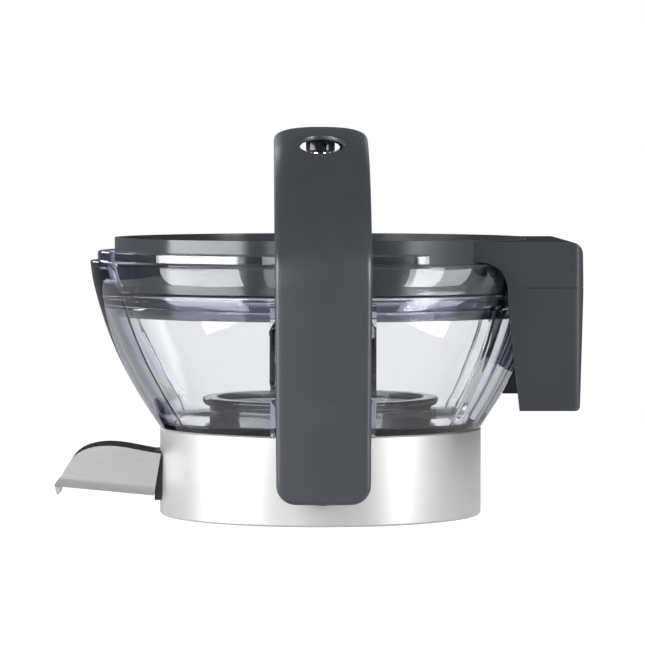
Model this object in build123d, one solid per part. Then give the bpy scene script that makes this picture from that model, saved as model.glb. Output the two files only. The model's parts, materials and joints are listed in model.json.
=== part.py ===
from build123d import *
import math
import os

# Citrus press juicer. Millimetres, +Z up, +X towards the handle, -X towards the spout.
# The origin is the centre of the base ring's lower edge.

# ---- driving dimensions -------------------------------------------------------------------
BASE_R = 77.5            # outer radius of the base ring
BASE_H = 42.0            # height of the base ring
BASE_WALL = 4.0
REGISTER_DEPTH = 6.0     # depth of the open recess under the bottom plate

BOWL_FLOOR_Z = 42.2
BOWL_WALL = 3.0
FLANGE_R = 111.0         # widest radius of the clear bowl, at its rim
FLANGE_Z = 122.3
COLLAR_R = 107.3         # upright step above the bowl's rim
COLLAR_Z = 127.0
LEDGE_Z = 108.0          # ledge inside the bowl that the rim ring sits on

RING_R = 99.2            # rim ring
RING_WALL = 4.2
RING_TOP_Z = 133.4
RING_FOOT_R = 103.6
RING_FOOT_TOP_Z = 113.0
SKIRT_LOW_Z = 96.5

HANDLE_END_X = 122.0     # wide, downturned handle, open below and towards the bowl
HANDLE_LOW_Z = 53.6
HANDLE_TOP_Z = 132.4
HANDLE_HALF_WIDTH = 70.0
HANDLE_CORNER_R = 5.0
HANDLE_SEAM_Z = 111.0
HANDLE_WALL = 3.0

PIVOT_Z = 25.0           # axis that the press arm turns on
ARM_TOP_Z = 186.5
ARM_OUT_Y = 122.0        # outer face of the legs
ARM_DEPTH = 8.0          # depth of the channel section
ARM_PLATE = 3.0
ARM_ARC_R = 150.5        # outer radius of the crown
ARM_SHOULDER_R = 33.0    # outer radius between crown and leg
ARM_TOP_WIDTH = 46.0
ARM_FOOT_WIDTH = 43.0
ARM_LOW_Z = 14.0
ARM_CROWN_CORNER_R = 6.5 # rounding of the crown's two top edges
ARM_HOLE_Y = 49.0        # distance of the oval holes from the crown's middle
ARM_HOLE_WIDTH = 20.5
ARM_HOLE_LENGTH = 25.5

GEAR_MODULE = 1.0
SMALL_TEETH = 12
LARGE_TEETH = 36
GEAR_OFFSET = GEAR_MODULE * (SMALL_TEETH + LARGE_TEETH) / 2
PRESSURE_ANGLE = 25.0
BACKLASH = 0.16
RUNNING = 0.05           # radial clearance of a running fit

SHAFT_R = 4.0
PIN_R = 4.0
SPOUT_HINGE_X = -83.5
SPOUT_HINGE_Z = 26.5
SPOUT_ROOT_X = -80.0
SPOUT_ROOT_Z = 9.4
SPOUT_SLOPE = 5.4        # degrees that the floor rises to the tip
TROUGH_LENGTH = 48.3
TROUGH_WALL_HEIGHT = 22.0
TROUGH_CORNER_R = 5.0
SPOUT_HALF_WIDTH = 17.3
SPOUT_WALL = 1.5

CONE_R = 21.0
CONE_LOW_Z = 52.0
CONE_TIP_Z = 110.0


def cyl(radius, low, high, x=0.0, y=0.0):
    """Upright cylinder between two heights."""
    return Pos(x, y, (low + high) / 2) * Cylinder(radius, high - low)


def tube(outer, inner, low, high, x=0.0, y=0.0):
    return cyl(outer, low, high, x, y) - cyl(inner, low - 1, high + 1, x, y)


def cyl_y(radius, low, high, x=0.0, z=0.0):
    """Cylinder along Y between two places on Y."""
    return Pos(x, (low + high) / 2, z) * Rot(90, 0, 0) * Cylinder(radius, high - low)


def block(x0, x1, y0, y1, z0, z1):
    return Pos((x0 + x1) / 2, (y0 + y1) / 2, (z0 + z1) / 2) * Box(x1 - x0, y1 - y0, z1 - z0)


def turned(points):
    """Solid of revolution about Z from a closed outline of (radius, height) points."""
    return revolve(Plane.XZ * make_face(Polyline(*points, close=True)), Axis.Z)


def side_prism(outline, half_depth):
    """Prism through the object along Y from a face drawn in X and Z."""
    return extrude(Plane.XZ * outline, half_depth, both=True)


def front_prism(outline, half_depth):
    """Prism through the object along X from a face drawn in Y and Z."""
    return extrude(Plane.YZ * outline, half_depth, both=True)


def obround(radius, low, high):
    """Upright prism round both gear centres."""
    ends = cyl(radius, low, high) + cyl(radius, low, high, 0, GEAR_OFFSET)
    return ends + block(-radius, radius, 0, GEAR_OFFSET, low, high)


def on_circle(count, radius, first=0.0):
    """Places spaced evenly on a circle, as (x, y)."""
    angles = [math.radians(first + 360 * i / count) for i in range(count)]
    return [(radius * math.cos(a), radius * math.sin(a)) for a in angles]


def save(name, shape):
    export_step(shape, f"parts/{name}.step")


# ---- base ---------------------------------------------------------------------------------
REGISTER_R = BASE_R - 2.0           # open recess that a drive unit's collar fits
INNER_R = BASE_R - BASE_WALL        # above the recess
BOSS_SCREW_X = 11.0
DECK_TOP = BASE_H - 1.0
PLATE_Z = REGISTER_DEPTH + 0.4
FLOOR_Z = 9.0
FLOOR_TOP = 12.0
HOUSING_R = 20.5
HOUSING_WALL = 5.5
COVER_R = 24.6
HOUSING_TOP = 37.0
ROOF_TOP = 40.0
TOWER_R = 9.5
DUCT_LOW = 10.6          # outlet duct through the base wall
DUCT_HIGH = 27.2
TOWER_TOP = 49.5
PLATE_SCREWS = on_circle(6, 66.5, 30)
HEAD_SEAT_Z = PLATE_Z + 1.4
COVER_SCREWS = [(sx * 22.4, y) for sx in (-1, 1) for y in (0, GEAR_OFFSET)]


def boss_screw_shanks(radius):
    places = [(s * 79, x) for s in (-1, 1) for x in (-BOSS_SCREW_X, BOSS_SCREW_X)]
    return [cyl_y(radius, y - 12, y + 12, x, PIVOT_Z) for y, x in places]


def base_ring():
    ring = turned([(REGISTER_R, 0), (BASE_R - 0.8, 0), (BASE_R, 0.8), (BASE_R, BASE_H - 0.8),
                   (BASE_R - 0.8, BASE_H), (INNER_R, BASE_H), (INNER_R, REGISTER_DEPTH),
                   (REGISTER_R, REGISTER_DEPTH)])
    ring -= block(-85, -65, -14, 14, 9.5, 29)
    for s in (-1, 1):
        ring -= cyl_y(6.2, s * 76 - 10, s * 76 + 10, 0, PIVOT_Z)
    for shank in boss_screw_shanks(1.7):
        ring -= shank
    return ring


def base_chassis():
    body = tube(INNER_R, INNER_R - 2.5, FLOOR_Z, DECK_TOP) + cyl(INNER_R - 1, FLOOR_Z, FLOOR_TOP)
    body += obround(HOUSING_R + HOUSING_WALL, FLOOR_Z, ROOF_TOP)
    body += cyl(TOWER_R, ROOF_TOP - 1, TOWER_TOP)
    for x, y in PLATE_SCREWS:
        body += cyl(4.2, FLOOR_TOP - 1, 30, x, y)
    body -= obround(HOUSING_R, FLOOR_Z - 1, HOUSING_TOP)
    body -= obround(COVER_R, FLOOR_Z - 1, FLOOR_TOP)
    body -= cyl(7.0, HOUSING_TOP - 1, TOWER_TOP + 1)
    body -= block(-80, -68, -13, 13, DUCT_LOW, DUCT_HIGH)
    for x, y in PLATE_SCREWS:
        body -= cyl(1.4, FLOOR_Z - 1, 22, x, y)
    for x, y in COVER_SCREWS:
        body -= cyl(1.1, FLOOR_Z - 1, 22, x, y)
    for s in (-1, 1):
        body -= cyl_y(6.2, s * 76 - 10, s * 76 + 10, 0, PIVOT_Z)
    for shank in boss_screw_shanks(1.4):
        body -= shank
    return body


def bottom_plate():
    plate = tube(INNER_R, 14.0, PLATE_Z, FLOOR_Z)
    for x, y in PLATE_SCREWS:
        plate -= cyl(1.7, PLATE_Z - 1, FLOOR_Z + 1, x, y)
        plate -= cyl(3.4, PLATE_Z - 1, HEAD_SEAT_Z, x, y)
    for radius in (28, 48):
        plate -= tube(radius + 1.0, radius - 1.0, PLATE_Z - 1, PLATE_Z + 0.8)
    return plate


def pan_screw(x, y, head_z, shank_top, head_r, shank_r):
    """Screw standing upright with its low rounded head below, slotted crosswise."""
    head = cyl(head_r, head_z - 1.3, head_z, x, y)
    head = fillet(head.edges().group_by(Axis.Z)[0], 0.6)
    head -= block(x - 2, x + 2, y - 0.4, y + 0.4, head_z - 3, head_z - 0.6)
    head -= block(x - 0.4, x + 0.4, y - 2, y + 2, head_z - 3, head_z - 0.6)
    return head + cyl(shank_r, head_z, shank_top, x, y)


def bottom_plate_screws():
    return Compound(children=[pan_screw(x, y, HEAD_SEAT_Z, 20, 3.0, 1.4) for x, y in PLATE_SCREWS])


def gearbox_cover():
    cover = obround(COVER_R, FLOOR_Z, FLOOR_TOP) - cyl(9.0, FLOOR_Z - 1, FLOOR_TOP + 1)
    cover -= cyl(3.0, FLOOR_Z + 1.2, FLOOR_TOP + 1, 0, GEAR_OFFSET)
    for x, y in COVER_SCREWS:
        cover -= cyl(1.1, FLOOR_Z - 1, FLOOR_TOP + 1, x, y)
        cover -= cyl(2.0, FLOOR_Z - 1, FLOOR_Z + 1.3, x, y)
    return cover


def gearbox_cover_screws():
    screws = []
    for x, y in COVER_SCREWS:
        screws.append(cyl(1.9, FLOOR_Z + 0.1, FLOOR_Z + 1.3, x, y) + cyl(1.1, FLOOR_Z + 1.3, 20, x, y))
    return Compound(children=screws)


# ---- gears --------------------------------------------------------------------------------
def gear(teeth, low, high, bore, first_angle):
    """Involute spur gear with a tooth centred on first_angle degrees."""
    pitch_r = GEAR_MODULE * teeth / 2
    base_r = pitch_r * math.cos(math.radians(PRESSURE_ANGLE))
    tip_r = pitch_r + 0.8 * GEAR_MODULE
    root_r = pitch_r - 1.1 * GEAR_MODULE
    inv_pitch = math.tan(math.radians(PRESSURE_ANGLE)) - math.radians(PRESSURE_ANGLE)
    half_pitch = (math.pi * GEAR_MODULE / 2 - BACKLASH) / (2 * pitch_r)

    def half_angle(radius):
        roll = math.acos(min(1.0, base_r / max(radius, base_r)))
        return half_pitch + inv_pitch - (math.tan(roll) - roll)

    steps = 5
    start_r = max(root_r, base_r)
    flank = [start_r + (tip_r - start_r) * i / steps for i in range(steps + 1)]
    points = []
    for tooth in range(teeth):
        middle = math.radians(first_angle) + 2 * math.pi * tooth / teeth
        left = [(r, middle - half_angle(r)) for r in flank]
        right = [(r, middle + half_angle(r)) for r in reversed(flank)]
        foot = half_angle(start_r)
        rim = [(root_r, middle - foot)] + left + right + [(root_r, middle + foot)]
        if root_r >= base_r:
            rim = left + right
        points += [(r * math.cos(a), r * math.sin(a)) for r, a in rim]
    wheel = extrude(Pos(0, 0, low) * make_face(Polyline(*points, close=True)), high - low)
    return wheel - cyl(bore, low - 1, high + 1)


LOWER_MESH = (13.2, 20.5)
UPPER_MESH = (25.0, 33.0)
HALF_LARGE_TOOTH = 180 / LARGE_TEETH
SOCKET_Z = 6.7
SOCKET_TOP = 13.0
SOCKET_R = 4.0


def input_coupling():
    hub = cyl(7.0, SOCKET_Z, 12.4) + cyl(8.4, 12.3, LOWER_MESH[0])
    hub += gear(SMALL_TEETH, LOWER_MESH[0] - 0.1, 21.0, 0.5, 90)
    hub += cyl(3.0, LOWER_MESH[0] - 0.1, 21.0)
    hub -= cyl(SOCKET_R, SOCKET_Z - 1, SOCKET_TOP)
    hub -= block(-1, 1, 0, SOCKET_R + 1.3, SOCKET_Z - 1, SOCKET_TOP - 1)
    return hub


def input_bush():
    return tube(9.0, 7.0 + RUNNING, FLOOR_Z, FLOOR_TOP)


def input_retaining_ring():
    ring = tube(8.6, 7.0, 7.7, 8.5)
    return ring - block(-1.5, 1.5, -10, -5, 7, 9)


def idler_gear():
    large = gear(LARGE_TEETH, LOWER_MESH[0], LOWER_MESH[1], 3.0 + RUNNING, 90 + HALF_LARGE_TOOTH)
    for x, y in on_circle(6, 11.5, 30):
        large -= cyl(3.0, LOWER_MESH[0] - 1, LOWER_MESH[1] + 1, x, y)
    small = gear(SMALL_TEETH, LOWER_MESH[1] - 0.1, UPPER_MESH[1], 3.0 + RUNNING, 270)
    return Pos(0, GEAR_OFFSET, 0) * (large + small)


def idler_post():
    return cyl(3.0, FLOOR_Z + 1.2, HOUSING_TOP, 0, GEAR_OFFSET)


def idler_retaining_ring():
    return tube(5.0, 3.0, 33.6, 34.6, 0, GEAR_OFFSET)


def output_gear():
    wheel = gear(LARGE_TEETH, UPPER_MESH[0], UPPER_MESH[1], SHAFT_R, 90 + HALF_LARGE_TOOTH)
    for x, y in on_circle(6, 10.5, 0):
        wheel -= cyl(2.8, UPPER_MESH[0] - 1, UPPER_MESH[1] + 1, x, y)
    return wheel


def output_shaft():
    shaft = cyl(SHAFT_R, 23.0, 96.0)
    shaft = chamfer(shaft.edges().group_by(Axis.Z)[-1], 1.0)
    return shaft


def output_bush():
    return tube(7.0, SHAFT_R + RUNNING, HOUSING_TOP, TOWER_TOP - 2.0)


def shaft_seal():
    return tube(7.0, SHAFT_R + RUNNING, TOWER_TOP - 2.0, TOWER_TOP + 0.6)


def shaft_retaining_ring():
    ring = tube(6.4, SHAFT_R, 35.3, 36.3)
    return ring - block(-1.2, 1.2, -8, -3, 35, 37)


# ---- reamer -------------------------------------------------------------------------------
def cone_outline(factor):
    """Half outline of the reamer: a skirt below and an ogive above."""
    shoulder = (CONE_R * factor, CONE_LOW_Z + 5)
    middle = (CONE_R * 0.68 * factor, CONE_LOW_Z + 0.62 * (CONE_TIP_Z - CONE_LOW_Z))
    tip = (0, CONE_LOW_Z + 5 + (CONE_TIP_Z - CONE_LOW_Z - 5) * (0.9 + 0.1 * factor))
    ogive = ThreePointArc(shoulder, middle, tip)
    rest = Polyline(tip, (0, CONE_LOW_Z), (CONE_R * factor, CONE_LOW_Z), shoulder)
    return make_face([ogive, rest])


def reamer_cone():
    cone = revolve(Plane.XZ * cone_outline(0.82), Axis.Z)
    fin = Plane.XZ * cone_outline(1.0)
    rib = extrude(fin, 1.3, both=True)
    for i in range(10):
        cone += Rot(0, 0, i * 36) * rib
    cone += cyl(CONE_R, CONE_LOW_Z, CONE_LOW_Z + 3.5)
    cone -= cyl(15.0, CONE_LOW_Z - 1, CONE_LOW_Z + 9)
    cone += cyl(7.5, CONE_LOW_Z, CONE_LOW_Z + 12)
    cone -= cyl(SHAFT_R, CONE_LOW_Z - 1, 96.0)
    return cone


# ---- bowl ---------------------------------------------------------------------------------
OUTER_WALL = [(77.5, 42.2), (81.4, 48.0), (88.6, 59.5), (97.8, 77.0), (104.5, 94.3), (109.4, 111.7),
              (111.0, 122.3)]
NOTCH_X = 85.8           # the bowl's rim stops here and leaves room for the handle
NOTCH_LOW_Z = 104.0
NOTCH_R = 12.5
COLLAR_END_X = 48.7
GUIDE_X = 22.0
GUIDE_WALL = 2.2
GUIDE_TOP_Z = 105.0
GUIDE_OUT_Y = 110.0


def wall_solid(grow, low, high):
    """Solid that fills the bowl's outer wall, moved out by grow."""
    curve = Spline(*[(r + grow, z) for r, z in OUTER_WALL])
    rest = Polyline((FLANGE_R + grow, FLANGE_Z), (0, FLANGE_Z), (0, 42.2), (77.5 + grow, 42.2))
    solid = revolve(Plane.XZ * make_face([curve, rest]), Axis.Z)
    return solid & block(-140, 140, -140, 140, low, high)


def rim_corner(gap):
    """Side outline of the bowl up to its rim, with a round corner at the handle, moved out by gap."""
    width = 150
    height = 60
    face = Pos(NOTCH_X + gap - width / 2, FLANGE_Z + gap - height / 2) * Rectangle(width, height)
    return fillet([v for v in face.vertices() if v.X > 0 and v.Y > 100], NOTCH_R + gap)


def notch_cutter():
    """Space that the bowl's rim leaves free on the handle side."""
    space = Pos(NOTCH_X + 20, NOTCH_LOW_Z + 20) * Rectangle(80, 40)
    return side_prism(space - rim_corner(0), 130)


def bowl():
    shell = wall_solid(0, 42.2, FLANGE_Z)
    inner = Spline(*[(r - BOWL_WALL - (1.2 if z < 45 else 0), z + 3.0) for r, z in OUTER_WALL[:-1]])
    start = (OUTER_WALL[0][0] - BOWL_WALL - 1.2, 45.2)
    end = (OUTER_WALL[-2][0] - BOWL_WALL, OUTER_WALL[-2][1] + 3.0)
    rest = Polyline(end, (end[0], 135), (0, 135), (0, 45.2), start)
    hollow = revolve(Plane.XZ * make_face([inner, rest]), Axis.Z)
    shell += tube(COLLAR_R, COLLAR_R - 3.2, FLANGE_Z - 6, COLLAR_Z)
    shell -= hollow & block(-140, 140, -140, 140, 40, FLANGE_Z - 8)
    shell -= cyl(COLLAR_R - 3.2, FLANGE_Z - 8.1, 140)
    shell += turned([(101.0, LEDGE_Z - 2.5), (105.9, LEDGE_Z - 7), (106.5, LEDGE_Z), (101.0, LEDGE_Z)])
    shell -= cyl(44.5, 40, 46)
    shell -= block(COLLAR_END_X, 140, -140, 140, FLANGE_Z, 140)
    shell -= notch_cutter()
    for side in (-1, 1):
        shell += guide_walls(side * (GUIDE_X + GUIDE_WALL / 2))
    return shell


def guide_walls(x):
    """Two upright walls at x, front and rear, from the bowl out to the press arm's legs."""
    slope = Polyline((60, 42.2), (86, 42.2), (GUIDE_OUT_Y, 62), (GUIDE_OUT_Y, GUIDE_TOP_Z),
                     (60, GUIDE_TOP_Z), close=True)
    half = Pos(x, 0, 0) * front_prism(make_face(slope), GUIDE_WALL / 2)
    return half + mirror(half, Plane.XZ) - wall_solid(-0.6, 42.2, FLANGE_Z)


def bowl_gasket():
    return turned([(68.5, DECK_TOP), (73.0, DECK_TOP), (73.0, BOWL_FLOOR_Z), (68.5, BOWL_FLOOR_Z)])


def strainer_collar():
    outline = [(45.5, 45.2), (53.6, 45.2), (53.6, 52.2), (56.0, 53.2), (57.0, 54.4), (57.0, 55.9),
               (56.1, 56.8), (50.6, 56.8), (49.4, 55.6), (48.0, 49.4), (45.5, 49.4)]
    lug = block(52, 66, -5.5, 5.5, 45.2, 51.0) - block(55.2, 64.4, -3.9, 3.9, 47.0, 52.0)
    return turned(outline) + (lug - cyl(50, 45, 52))


def strainer_disc():
    disc = tube(45.4, 10.3, 46.4, 48.0)
    for radius, count in ((16, 10), (23, 14), (30, 18), (37, 22)):
        for i in range(count):
            slot = Pos(radius + 2, 0, 47) * Box(4.4, 1.3, 6)
            disc -= Rot(0, 0, 360 * i / count) * slot
    disc += turned([(42.8, 45.4), (45.4, 45.4), (45.4, 46.5), (42.8, 46.5)])
    return disc


# ---- rim ring with its handle ---------------------------------------------------------------
def handle_plan(inset):
    """Plan of the handle: a wide box with rounded outer corners."""
    end_x = HANDLE_END_X - inset
    face = Pos((40 + end_x) / 2, 0) * Rectangle(end_x - 40, 2 * (HANDLE_HALF_WIDTH - inset))
    return fillet([v for v in face.vertices() if v.X > 60], HANDLE_CORNER_R - inset * 0.8)


def handle_side(inset):
    """Side outline of the handle, drawn in X and Z."""
    top = HANDLE_TOP_Z - inset
    end = HANDLE_END_X - inset
    low = HANDLE_LOW_Z
    points = [(45, top), (end - 0.5, top), (end, HANDLE_SEAM_Z), (end - 1.8, low), (92.1, low),
              (86.6, 104), (45, 104)]
    if inset > 0:
        points = [(45, top), (end - 0.5, top), (end, HANDLE_SEAM_Z), (end - 2.4, low - 10), (45, low - 10)]
    face = make_face(Polyline(*points, close=True))
    corner = [v for v in face.vertices() if v.X > 100 and v.Y > 120]
    face = fillet(corner, 6.0 - inset)
    if inset == 0:
        low_corner = [v for v in face.vertices() if v.X > 100 and v.Y < 60]
        face = fillet(low_corner, 2.2)
        face -= rim_corner(0.6) & Pos(50, 164) * Rectangle(200, 120)
    return face


def rim_ring():
    body = extrude(handle_plan(0), 200) & side_prism(handle_side(0), 90)
    body -= extrude(handle_plan(HANDLE_WALL), 200) & side_prism(handle_side(HANDLE_WALL), 90)
    body -= wall_solid(0.6, 42.2, NOTCH_LOW_Z + 0.6)
    body -= cyl(RING_FOOT_R, 40, LEDGE_Z)
    body += cyl(RING_R, LEDGE_Z, RING_TOP_Z) + cyl(RING_FOOT_R, LEDGE_Z, RING_FOOT_TOP_Z)
    body -= cyl(RING_R - RING_WALL, 40, 140)
    return body - bowl()


def rim_skirt():
    return turned([(95.6, SKIRT_LOW_Z), (98.4, SKIRT_LOW_Z), (98.9, LEDGE_Z), (95.6, LEDGE_Z)])


# ---- press arm ------------------------------------------------------------------------------
def arch_face(inset):
    """Outline of the arch in Y and Z, moved in by inset: two legs, two shoulders and a crown."""
    half = ARM_OUT_Y - inset
    radius = ARM_ARC_R - inset
    centre_z = ARM_TOP_Z - ARM_ARC_R
    face = Pos(0, centre_z) * Circle(radius)
    face = face & (Pos(0, 100) * Rectangle(2 * half, 400))
    face = face & (Pos(0, 150 + centre_z) * Rectangle(400, 300))
    legs = Pos(0, (centre_z - 40) / 2 + 20) * Rectangle(2 * half, centre_z + 40)
    face = face + legs
    corners = [v for v in face.vertices() if v.Y > 100]
    return fillet(corners, ARM_SHOULDER_R - inset)


def arm_width_face(inset, low):
    """Front outline of the strap in X and Z: a taper with rounded foot corners."""
    top = ARM_TOP_WIDTH / 2 - inset
    foot = ARM_FOOT_WIDTH / 2 - inset
    high = ARM_TOP_Z + (0 if inset == 0 else 5)
    face = make_face(Polyline((-foot, low), (foot, low), (top, high), (-top, high), close=True))
    face = fillet([v for v in face.vertices() if v.Y < 60], 9.0 - inset)
    if inset == 0:
        face = fillet([v for v in face.vertices() if v.Y > 100], ARM_CROWN_CORNER_R)
    return face


def press_arm():
    strap = front_prism(arch_face(0) - arch_face(ARM_DEPTH), 40)
    strap &= side_prism(arm_width_face(0, ARM_LOW_Z), 140)
    channel = front_prism(arch_face(ARM_PLATE) - arch_face(ARM_DEPTH + 4), 40)
    strap -= channel & side_prism(arm_width_face(2.6, ARM_LOW_Z + 2.6), 140)
    for s in (-1, 1):
        low, high = sorted((s * (ARM_OUT_Y - ARM_PLATE + 0.5), s * 113.4))
        strap += cyl_y(9.5, low, high, 0, PIVOT_Z)
        low, high = sorted((s * (ARM_OUT_Y - ARM_PLATE), s * 112))
        strap -= cyl_y(6.2, low, high, 0, PIVOT_Z)
        tilt = math.degrees(math.asin(ARM_HOLE_Y / ARM_ARC_R))
        z = ARM_TOP_Z - ARM_ARC_R + ARM_ARC_R * math.cos(math.radians(tilt))
        oval = extrude(Ellipse(ARM_HOLE_WIDTH / 2, ARM_HOLE_LENGTH / 2), 12, both=True)
        strap -= Pos(0, s * ARM_HOLE_Y, z) * Rot(-s * tilt, 0, 0) * oval
    return strap


def arm_bush(s):
    low, high = sorted((s * (ARM_OUT_Y - ARM_PLATE), s * 113.4))
    return cyl_y(6.2, low, high, 0, PIVOT_Z) - cyl_y(PIN_R + RUNNING, low - 1, high + 1, 0, PIVOT_Z)


def arm_centre_boss():
    low = 174.2
    high = ARM_TOP_Z - ARM_PLATE
    outline = [(2.2, low), (6.0, low), (7.0, low + 1.0), (7.0, high), (2.2, high)]
    return turned(outline) & front_prism(arch_face(ARM_PLATE), 40)


def arm_boss_screw():
    return cyl(2.2, 174.2, ARM_TOP_Z - ARM_PLATE - 0.1) + cyl(4.2, 172.4, 174.2)


def pivot_boss(s):
    low, high = sorted((s * 70, s * 112.8))
    boss = cyl_y(8.0, low, high, 0, PIVOT_Z)
    low, high = sorted((s * 70, s * 82.5))
    boss += cyl_y(14.5, low, high, 0, PIVOT_Z)
    boss -= cyl(BASE_R, 0, 60)
    low, high = sorted((s * 72.5, s * 80))
    boss += cyl_y(6.2, low, high, 0, PIVOT_Z)
    low, high = sorted((s * 92, s * 114))
    boss -= cyl_y(PIN_R, low, high, 0, PIVOT_Z)
    for x in (-BOSS_SCREW_X, BOSS_SCREW_X):
        low, high = sorted((s * 70, s * 84))
        boss -= cyl_y(1.4, low, high, x, PIVOT_Z)
    return boss


def pivot_pin(s):
    low, high = sorted((s * 92, s * 118.4))
    pin = cyl_y(PIN_R, low, high, 0, PIVOT_Z)
    return chamfer(pin.edges().group_by(Axis.Y)[-1 if s > 0 else 0], 0.6)


def pivot_boss_screws():
    screws = []
    for s in (-1, 1):
        for x in (-BOSS_SCREW_X, BOSS_SCREW_X):
            low, high = sorted((s * 82.5, s * 84.3))
            head = cyl_y(2.7, low, high, x, PIVOT_Z)
            low, high = sorted((s * 73.0, s * 82.6))
            screws.append(head + cyl_y(1.4, low, high, x, PIVOT_Z))
    return Compound(children=screws)


# ---- spout ----------------------------------------------------------------------------------
EAR_R = 3.2


def spout_side():
    """Side outline of the trough in its own frame, as distance out from the root and height."""
    root = Polyline((TROUGH_LENGTH - 7, 0), (0, 0), (-0.4, 7.4), (-1.4, TROUGH_WALL_HEIGHT - 1.2))
    top = Spline((-1.4, TROUGH_WALL_HEIGHT - 1.2), (12, TROUGH_WALL_HEIGHT - 0.1), (26, TROUGH_WALL_HEIGHT),
                 (39.5, 16), (44.5, 7.2), (TROUGH_LENGTH, 0.6))
    tip = Polyline((TROUGH_LENGTH, 0.6), (TROUGH_LENGTH - 0.5, 0), (TROUGH_LENGTH - 7, 0))
    return make_face([root, top, tip])


def spout_section(inset):
    """Cross-section of the trough with rounded lower corners."""
    half = SPOUT_HALF_WIDTH - inset
    face = Pos(0, inset + 20) * Rectangle(2 * half, 40)
    return fillet([v for v in face.vertices() if v.Y < 12], TROUGH_CORNER_R - inset)


def spout_trough():
    """The trough is drawn level along -X, then tilted up a little about its root."""
    outward = Plane(origin=(0, 0, 0), x_dir=(-1, 0, 0), z_dir=(0, 1, 0))
    blank = extrude(outward * spout_side(), 40, both=True)
    trough = blank & extrude(Plane.YZ * spout_section(0), 60, both=True)
    trough -= extrude(Plane.YZ * spout_section(SPOUT_WALL), 80, both=True)
    end = TROUGH_LENGTH
    lip = make_face(Polyline((end, 0.6), (end - 1.6, -4.0), (end - 2.8, -3.6), (end - 3.4, 0.0),
                             (end - 4.5, 1.4), (end - 1.0, 1.4), close=True))
    trough += extrude(outward * lip, SPOUT_HALF_WIDTH - TROUGH_CORNER_R, both=True)
    trough = Pos(SPOUT_ROOT_X, 0, SPOUT_ROOT_Z) * Rot(0, SPOUT_SLOPE, 0) * trough
    trough -= block(-80.3, -70, -15.4, 15.4, 0, 40)
    trough -= cyl(BASE_R + 0.8, 0, 60)
    for s in (-1, 1):
        low, high = sorted((s * 12, s * 20))
        trough -= cyl_y(1.5 + RUNNING, low, high, SPOUT_HINGE_X, SPOUT_HINGE_Z)
    return trough


def spout_bracket():
    """Black plate on the ring with an outlet through it and two ears for the hinge pin."""
    face = Pos(0, 19) * RectangleRounded(30, 24, 5)
    plate = extrude(Plane.YZ * face, -79.8) - extrude(Plane.YZ * face, -60)
    plate -= cyl(BASE_R, 0, 60)
    middle = (DUCT_LOW + DUCT_HIGH) / 2
    height = DUCT_HIGH - DUCT_LOW
    throat = Pos(0, middle) * RectangleRounded(23, height - 3, 3.5)
    duct = extrude(Plane.YZ * (Pos(0, middle) * RectangleRounded(26, height, 5)), -79.0)
    duct -= cyl(INNER_R - 2.5, 0, 60)
    plate = plate + duct
    plate -= extrude(Plane.YZ * throat, -90)
    for s in (-1, 1):
        low, high = sorted((s * 12.6, s * 15.0))
        plate += cyl_y(EAR_R, low, high, SPOUT_HINGE_X, SPOUT_HINGE_Z)
        plate += block(SPOUT_HINGE_X, -79.0, low, high, SPOUT_HINGE_Z - EAR_R, SPOUT_HINGE_Z + EAR_R)
        plate -= cyl_y(1.5, low - 0.5, high + 0.5, SPOUT_HINGE_X, SPOUT_HINGE_Z)
    return plate


def spout_hinge_pin():
    return cyl_y(1.5, -17.2, 17.2, SPOUT_HINGE_X, SPOUT_HINGE_Z)


PARTS = {
    "base_ring": base_ring,
    "base_chassis": base_chassis,
    "bottom_plate": bottom_plate,
    "bottom_plate_screws": bottom_plate_screws,
    "gearbox_cover": gearbox_cover,
    "gearbox_cover_screws": gearbox_cover_screws,
    "input_coupling": input_coupling,
    "input_bush": input_bush,
    "input_retaining_ring": input_retaining_ring,
    "idler_gear": idler_gear,
    "idler_post": idler_post,
    "idler_retaining_ring": idler_retaining_ring,
    "output_gear": output_gear,
    "output_shaft": output_shaft,
    "output_bush": output_bush,
    "shaft_seal": shaft_seal,
    "shaft_retaining_ring": shaft_retaining_ring,
    "reamer_cone": reamer_cone,
    "bowl": bowl,
    "bowl_gasket": bowl_gasket,
    "strainer_collar": strainer_collar,
    "strainer_disc": strainer_disc,
    "rim_ring": rim_ring,
    "rim_skirt": rim_skirt,
    "press_arm": press_arm,
    "arm_bush_front": lambda: arm_bush(-1),
    "arm_bush_rear": lambda: arm_bush(1),
    "arm_centre_boss": arm_centre_boss,
    "arm_boss_screw": arm_boss_screw,
    "pivot_boss_front": lambda: pivot_boss(-1),
    "pivot_boss_rear": lambda: pivot_boss(1),
    "pivot_pin_front": lambda: pivot_pin(-1),
    "pivot_pin_rear": lambda: pivot_pin(1),
    "pivot_boss_screws": pivot_boss_screws,
    "spout_trough": spout_trough,
    "spout_bracket": spout_bracket,
    "spout_hinge_pin": spout_hinge_pin,
}

os.makedirs("parts", exist_ok=True)
for node, make in PARTS.items():
    save(node, make())
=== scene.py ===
import json
import math

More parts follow.
